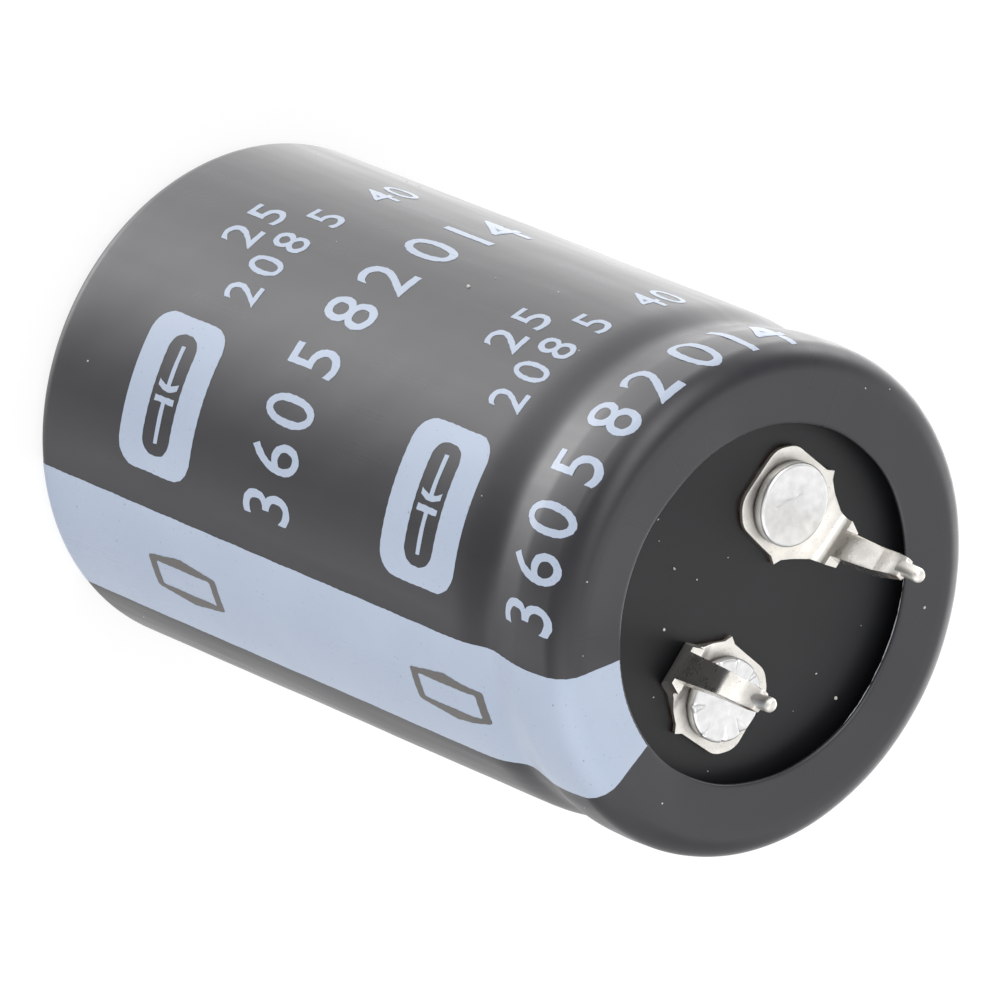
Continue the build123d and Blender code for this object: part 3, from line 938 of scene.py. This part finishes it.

# %% [markdown]
# The rivets are soft aluminium, upset by a press, which leaves a bright satin face with broad
# shallow dents. Painted shade darkens the foot of the rim, by the point attribute called foot.

# %% Rivet aluminium
DENT = 0.5
aluminium, tree, shader = new_material("upset_aluminium")
spot = node(tree, "TexCoord").outputs["Object"]
dents = node(tree, "TexNoise", Vector=spot, Scale=per_mm(DENT), Detail=3.0)
tone = node(tree, "Mix", MIX_COLOURS, i0=dents, i6="#c2c2c3", i7="#e6e6e6").outputs[2]
foot = node(tree, "Attribute", {"attribute_name": "foot"}).outputs["Fac"]
# Painted shade: the foot of the rim is mixed towards a dark grey where the head meets the plate.
tone = node(tree, "Mix", MIX_COLOURS, i0=foot, i6=tone, i7="#4f4b48").outputs[2]
rough = node(tree, "MapRange", Value=dents, From_Min=0.3, From_Max=0.7, To_Min=0.42, To_Max=0.3)
bump = node(tree, "Bump", Height=dents, Strength=0.35, Distance=0.06 * MM)
feed(shader, Base_Color=tone, Roughness=rough, Normal=bump, Metallic=1.0)
print("aluminium with dents of", DENT, "mm")

# %% [markdown]
# One head came out as a smooth coin with a faint fold across it. The other was staked with a star
# punch, which left wedge marks round its rim and facets in between. Both are turned shapes, and
# the star or the fold is a depth subtracted from the flat top. A seeded draw gives each mark its
# own place, length and depth.

# %% Star and fold
HEAD_RADIUS = 2.1
NOTCH_SIDE = 0.8
FACET_START = 0.35
FOLD_MIDDLE = (-0.22, 0.46)
FOLD_HEADING = (0.978, -0.206)
FOLD_DEPTH = 0.022
FOLD_WIDTH = 0.06
FOLD_HALF_LENGTH = 0.85
MARKS = 9
STAR = np.random.default_rng(5)
mark_turn = (np.arange(MARKS) + STAR.uniform(-0.22, 0.22, MARKS)) * 2 * np.pi / MARKS
mark_start = STAR.uniform(0.75, 1.25, MARKS)
mark_depth = STAR.uniform(0.1, 0.2, MARKS)
facet_turn = mark_turn + np.pi / MARKS
facet_slope = STAR.uniform(0.01, 0.06, MARKS)


def star_depth(x, y):
    """Depth of the staked face: each notch falls from its start to the rim and rises steeply to
    its sides, each facet is a shallow plane tilted outwards, and the deepest wins."""
    x, y = x[..., None], y[..., None]
    along = x * np.cos(mark_turn) + y * np.sin(mark_turn)
    beside = np.abs(y * np.cos(mark_turn) - x * np.sin(mark_turn))
    reach = HEAD_RADIUS - mark_start
    notch = mark_depth * (along - mark_start) / reach - NOTCH_SIDE * beside
    outward = x * np.cos(facet_turn) + y * np.sin(facet_turn)
    facet = facet_slope * (outward - FACET_START)
    return np.clip(notch, 0, None).max(-1) + np.clip(facet, 0, None).max(-1)


def fold_depth(x, y):
    """Depth of the fold across the smooth head: a bell curve of the distance from a wavy line,
    between its two ends."""
    x, y = x - FOLD_MIDDLE[0], y - FOLD_MIDDLE[1]
    along = FOLD_HEADING[0] * x + FOLD_HEADING[1] * y
    beside = FOLD_HEADING[0] * y - FOLD_HEADING[1] * x + 0.05 * np.sin(7 * along)
    return FOLD_DEPTH * np.exp(-((beside / FOLD_WIDTH) ** 2)) * (np.abs(along) < FOLD_HALF_LENGTH)


print("a star of", MARKS, "marks, the deepest", mark_depth.max().round(2), "mm")

# %% [markdown]
# The section runs from the middle of the face over the rounded rim, down the shank and round the
# flange that was upset under the board. Its rows are spaced closely on the face alone, where the
# star needs them.

# %% Rivets
HEAD_HEIGHT = 0.58
HEAD_ROUND = 0.16
SHANK_RADIUS = 1.5
FLANGE_RADIUS = 2.4
FLANGE_THICKNESS = 0.8
FACE_ROWS = 44
RIVET_COLUMNS = 216


def riveted(name, sign, starred):
    """A rivet turned about its own axis: face, rim, shank and flange down to its end."""
    top = PLATE_BASE + SHEET + HEAD_HEIGHT
    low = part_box(name)[0][2] / MM
    flange = low + FLANGE_THICKNESS
    face = np.linspace(0, HEAD_RADIUS - HEAD_ROUND, FACE_ROWS)
    a = np.linspace(0, np.pi / 2, 9)[1:]
    rim_r = HEAD_RADIUS - HEAD_ROUND + HEAD_ROUND * np.sin(a)
    rim_z = top - HEAD_ROUND + HEAD_ROUND * np.cos(a)
    lower_r = [HEAD_RADIUS, SHANK_RADIUS, SHANK_RADIUS, FLANGE_RADIUS, FLANGE_RADIUS, 0]
    lower_z = [top - HEAD_HEIGHT, top - HEAD_HEIGHT, flange, flange, low, low]
    section_r = np.concatenate([face, rim_r, lower_r])
    section_z = np.concatenate([0 * face + top, rim_z, lower_z])
    turn = np.arange(RIVET_COLUMNS) * 2 * np.pi / RIVET_COLUMNS
    x, y = section_r[:, None] * np.cos(turn), section_r[:, None] * np.sin(turn)
    z = section_z[:, None] + 0 * x
    upper = z > top - HEAD_ROUND - 0.01
    worn = 0.012 * np.sin(2.1 * x + 0.8 * y) * np.cos(1.7 * y)
    if starred:
        worn = worn + 0.014 * np.sin(4.7 * x - 1.9 * y) * np.cos(5.3 * y + 2.2 * x)
    depth = star_depth(x, y) if starred else fold_depth(x, y)
    z = np.where(upper, z - depth + worn, z)
    middle = sign * RIVET_PLACE
    points = np.stack([x + middle[0], y + middle[1], z], -1)[::-1]
    faces = grid_faces(len(section_r), RIVET_COLUMNS, closed_columns=True)
    mesh = new_mesh(name + "_turned", points, faces)
    close_poles(mesh, 0.0005)
    rise = rows_of(mesh.vertices, "co")[:, 2] / MM - PLATE_BASE - SHEET
    # Share of painted shade: one at the plate's face, falling to none where the rim's round starts.
    foot = np.clip(1 - rise / (HEAD_HEIGHT - HEAD_ROUND), 0, 1)
    mesh.attributes.new("foot", "FLOAT", "POINT").data.foreach_set("value", foot)
    piece = new_piece(name + "_turned", mesh, aluminium)
    mesh.set_sharp_from_angle(angle=np.radians(50))
    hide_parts(name)
    return len(mesh.polygons)


print("positive rivet:", riveted("positive_rivet", 1, False), "faces")
print("negative rivet:", riveted("negative_rivet", -1, True), "faces")

# %% [markdown]
# Dust sits on every black surface, and the eye reads size from it. A speck is a squashed ball a
# tenth of a millimetre across, and a few dozen of them are one mesh. The specks on the deck and
# the rim, and the first three on the wall, are listed one by one; the rest are a seeded draw.

# %% Dust
DUST_DECK = [
    (-3.18, 4.34, 0.1), (-2.27, 2.94, 0.06), (-4.97, 1.92, 0.09), (1.78, -6.13, 0.08),
    (2.26, -8.06, 0.11), (5.10, -5.68, 0.06), (-2.95, 7.21, 0.07), (-3.36, 6.20, 0.06),
    (-6.94, -0.78, 0.07), (-5.79, -6.36, 0.07), (-0.19, -6.96, 0.05), (-0.24, 2.75, 0.05),
]
DUST_RIM = [
    (-8.51, 8.09, 0.09), (9.56, 6.21, 0.06), (10.84, 5.16, 0.06),
    (8.05, -6.41, 0.09), (-9.45, -5.04, 0.06), (-10.29, 4.89, 0.05),
]
lint, tree, shader = new_material("dust_fibre")
spot = node(tree, "TexCoord").outputs["Object"]
shades = node(tree, "TexNoise", Vector=spot, Scale=per_mm(1.0))
tone = node(tree, "Mix", MIX_COLOURS, i0=shades, i6="#b9b6ae", i7="#f3f2ee").outputs[2]
feed(shader, Base_Color=tone, Roughness=0.9)
DRIFT = np.random.default_rng(11)
WALL_SPECKS = 30
PLACED_TURNS = np.radians([82.6, 77, 88])
PLACED_LEVELS = (23.1, 23.7, 32.9)
PLACED_SIZES = (0.12, 0.07, 0.08)
BALL_ROWS = 6
BALL_COLUMNS = 8
deck_dust = np.insert(DUST_DECK, 2, DECK_LEVEL, axis=1)
rim_x, rim_y, rim_size = np.transpose(DUST_RIM)
rim_along = film_along[-1] - (np.hypot(rim_x, rim_y) - TOP_OPENING)
rim_dust = np.column_stack([film_point(np.arctan2(rim_y, rim_x), rim_along), rim_size])
wall_turn = DRIFT.uniform(0, 2 * np.pi, WALL_SPECKS)
wall_along = DRIFT.uniform(2, 39, WALL_SPECKS)
wall_size = DRIFT.uniform(0.03, 0.07, WALL_SPECKS)
wall_turn[:3], wall_along[:3], wall_size[:3] = PLACED_TURNS, PLACED_LEVELS, PLACED_SIZES
wall_dust = np.column_stack([film_point(wall_turn, wall_along), wall_size])
dust = np.concatenate([deck_dust, rim_dust, wall_dust])
round_turns = np.arange(BALL_COLUMNS) * 2 * np.pi / BALL_COLUMNS
u, v = np.meshgrid(round_turns, np.linspace(0, np.pi, BALL_ROWS))
ball = np.stack([np.sin(v) * np.cos(u), np.sin(v) * np.sin(u), np.cos(v)], -1)
stretch = DRIFT.uniform(0.35, 1.0, (len(dust), 1, 1, 3))
points = dust[:, None, None, :3] + ball * stretch * dust[:, None, None, 3:]
faces = grid_faces(BALL_ROWS, BALL_COLUMNS, closed_columns=True)
firsts = np.arange(len(dust))[:, None, None] * BALL_ROWS * BALL_COLUMNS
mesh = new_mesh("dust", points, (faces + firsts).reshape(-1, 4))
close_poles(mesh, 0.0002)
new_piece("dust", mesh, lint)
print(len(dust), "specks of dust")

# %% [markdown]
# The other solids hide under the film or inside the can. The can's base shows through the
# foot's opening, and the rest is what a cutaway would find, each with the finish it was made in.

# %% Materials of the hidden pieces


def mottled(name, dark, light, size, roughness, metallic=0.0, squash=(1, 1, 1), relief=0.01):
    """A material between two tones, with marks of a size in millimetres that are drawn out where
    squash is small, and a relief in millimetres."""
    made, tree, shader = new_material(name)
    spot = node(tree, "TexCoord").outputs["Object"]
    drawn = node(tree, "Mapping", Vector=spot, Scale=squash)
    marks = node(tree, "TexNoise", Vector=drawn, Scale=per_mm(size), Detail=3.0)
    tone = node(tree, "Mix", MIX_COLOURS, i0=marks, i6=dark, i7=light).outputs[2]
    bump = node(tree, "Bump", Height=marks, Strength=0.4, Distance=relief * MM)
    feed(shader, Base_Color=tone, Normal=bump, Roughness=roughness, Metallic=metallic)
    return made


FINISH = {
    "can": mottled("deep_drawn_aluminium", "#c9cacc", "#e4e5e6", 0.25, 0.34, 1.0, (1, 1, 0.06)),
    "rubber_facing": rubber,
    "terminal_board": mottled("phenolic_board", "#3a2417", "#55371f", 0.6, 0.55),
    "positive_washer": mottled("rolled_aluminium", "#c4c5c7", "#dfe0e1", 0.2, 0.4, 1.0),
    "positive_tab": mottled("soft_tab_aluminium", "#b9babc", "#dadbdc", 0.4, 0.45, 1.0),
    "closing_tape": mottled("amber_film_tape", "#9a6a2c", "#b98642", 2.0, 0.25),
}
for part in ("washer", "tab"):
    FINISH["negative_" + part] = FINISH["positive_" + part]
print(len(FINISH), "finishes")

# %% [markdown]
# The winding is foil and paper rolled together. Its ends show the turns as fine rings round the
# arbor hole, grey foil between cream paper, so the pattern is a wave of the distance from the
# axis. A real turn is a few hundredths thick; the rings are drawn further apart to show. The
# wave texture runs through twenty radians in a unit, and a ring takes two pi of them.

# %% Winding
RING_STEP = np.pi / 2
WAVE_RADIANS = 20
roll, tree, shader = new_material("foil_and_soaked_paper")
spot = node(tree, "TexCoord").outputs["Object"]
rings = node(
    tree, "TexWave", {"wave_type": "RINGS", "rings_direction": "Z"}, Vector=spot,
    Scale=per_mm(RING_STEP) * 2 * np.pi / WAVE_RADIANS, Distortion=0.6, Detail=2.0,
).outputs["Fac"]
tone = node(tree, "Mix", MIX_COLOURS, i0=rings, i6="#8b8880", i7="#cfc2a2").outputs[2]
bump = node(tree, "Bump", Height=rings, Strength=0.5, Distance=0.04 * MM)
feed(shader, Base_Color=tone, Normal=bump, Roughness=0.6)
FINISH["winding"] = roll
for name, finish in FINISH.items():
    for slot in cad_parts[name].material_slots:
        slot.material = finish
print("rings drawn", round(RING_STEP, 2), "mm apart")

# %% [markdown]
# The last cell ends the script.

# %% Finish
print("scene built")
